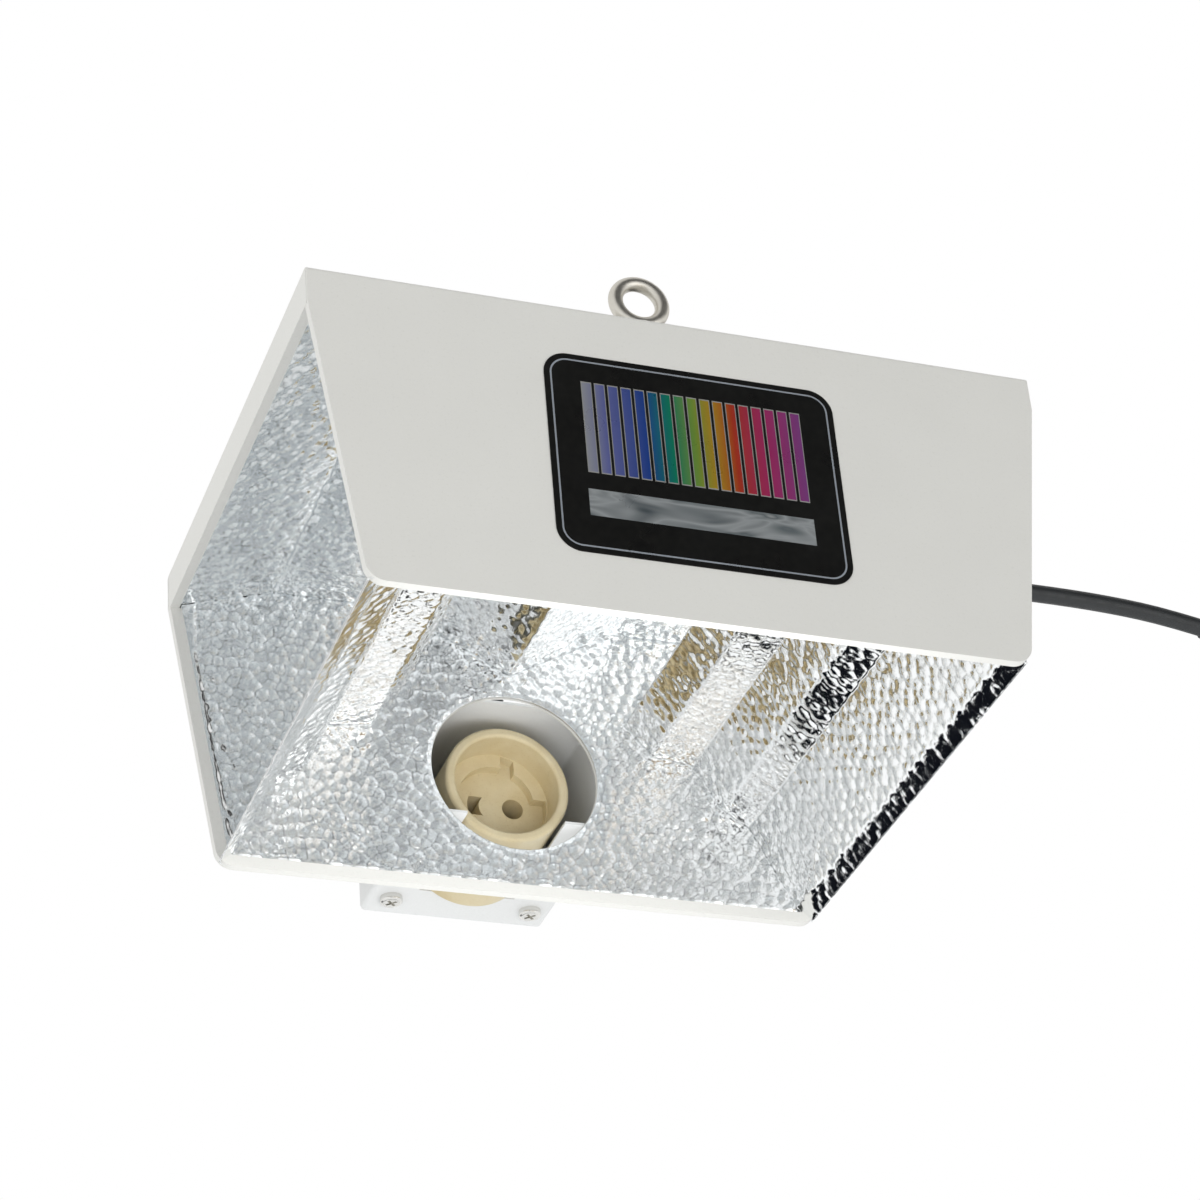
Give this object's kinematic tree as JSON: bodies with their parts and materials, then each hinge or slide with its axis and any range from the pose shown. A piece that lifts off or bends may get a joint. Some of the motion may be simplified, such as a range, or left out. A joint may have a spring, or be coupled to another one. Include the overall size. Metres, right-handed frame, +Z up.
{
  "type": "grow lamp reflector",
  "caption": "Hanging grow-lamp hood: folded white steel shell lined with hammered aluminium reflectors, ceramic lampholder in a rear box, swivelling eye bolts and supply lead.",
  "frame": {"origin": "midway between the centres of the two eye-bolt rings, on the centre plane of the hood", "axes": "+X along the hood, +Y from the label panel to the lampholder box, +Z up"},
  "size_m": [0.5223, 0.3125, 0.1925],
  "materials": {
    "white_powder_coat": "satin powder coat",
    "hammered_aluminium": "bright hammered, anodised",
    "zinc_steel": "satin zinc plate",
    "bright_screw": "bright plated",
    "cream_ceramic": "unglazed steatite",
    "label_film": "gloss printed film",
    "brass": "plain",
    "black_sheath": "matt sheath",
    "black_plastic": "moulded",
    "gland_plastic": "moulded nylon",
    "wire_brown": "insulation",
    "wire_blue": "insulation",
    "wire_green_yellow": "insulation",
    "tie_white": "nylon"
  },
  "bodies": {
    "hood": {"housing_shell": "white_powder_coat", "front_liner": "hammered_aluminium", "back_liner": "hammered_aluminium", "ceiling_liner": "hammered_aluminium", "left_wing_reflector": "hammered_aluminium", "right_wing_reflector": "hammered_aluminium", "label_plate": "label_film", "eye_washers": "zinc_steel", "holder_box": "white_powder_coat", "rear_cover": "white_powder_coat", "cover_screws": "bright_screw", "box_studs": "zinc_steel", "box_nuts": "zinc_steel", "holder_bracket": "zinc_steel", "bracket_screws": "bright_screw", "bracket_nuts": "zinc_steel", "holder_screws": "zinc_steel", "ceramic_cup": "cream_ceramic", "ceramic_base": "cream_ceramic", "contact_left": "brass", "contact_right": "brass", "terminal_screws": "brass", "earth_screw": "bright_screw", "earth_nut": "zinc_steel", "earth_lug": "brass", "gland_body": "gland_plastic", "gland_locknut": "gland_plastic", "gland_seal": "black_sheath", "gland_dome_nut": "gland_plastic", "strain_relief": "black_sheath", "lead_rise": "black_sheath", "lead_coil": "black_sheath", "lead_tail": "black_sheath", "coil_ties": "tie_white", "connector_relief": "black_sheath", "connector_body": "black_plastic", "connector_pins": "brass", "wire_live": "wire_brown", "wire_neutral": "wire_blue", "wire_earth": "wire_green_yellow"},
    "front_eye": {"eye_bolt_front": "zinc_steel", "eye_nuts_front": "zinc_steel"},
    "rear_eye": {"eye_bolt_rear": "zinc_steel", "eye_nuts_rear": "zinc_steel"}
  },
  "joints": [
    {"name": "front_eye_swivel", "type": "hinge", "parent": "hood", "child": "front_eye", "pos_m": [0, -0.073, 0], "axis": [0, 0, 1], "continuous": true},
    {"name": "rear_eye_swivel", "type": "hinge", "parent": "hood", "child": "rear_eye", "pos_m": [0, 0.073, 0], "axis": [0, 0, 1], "continuous": true}
  ]
}
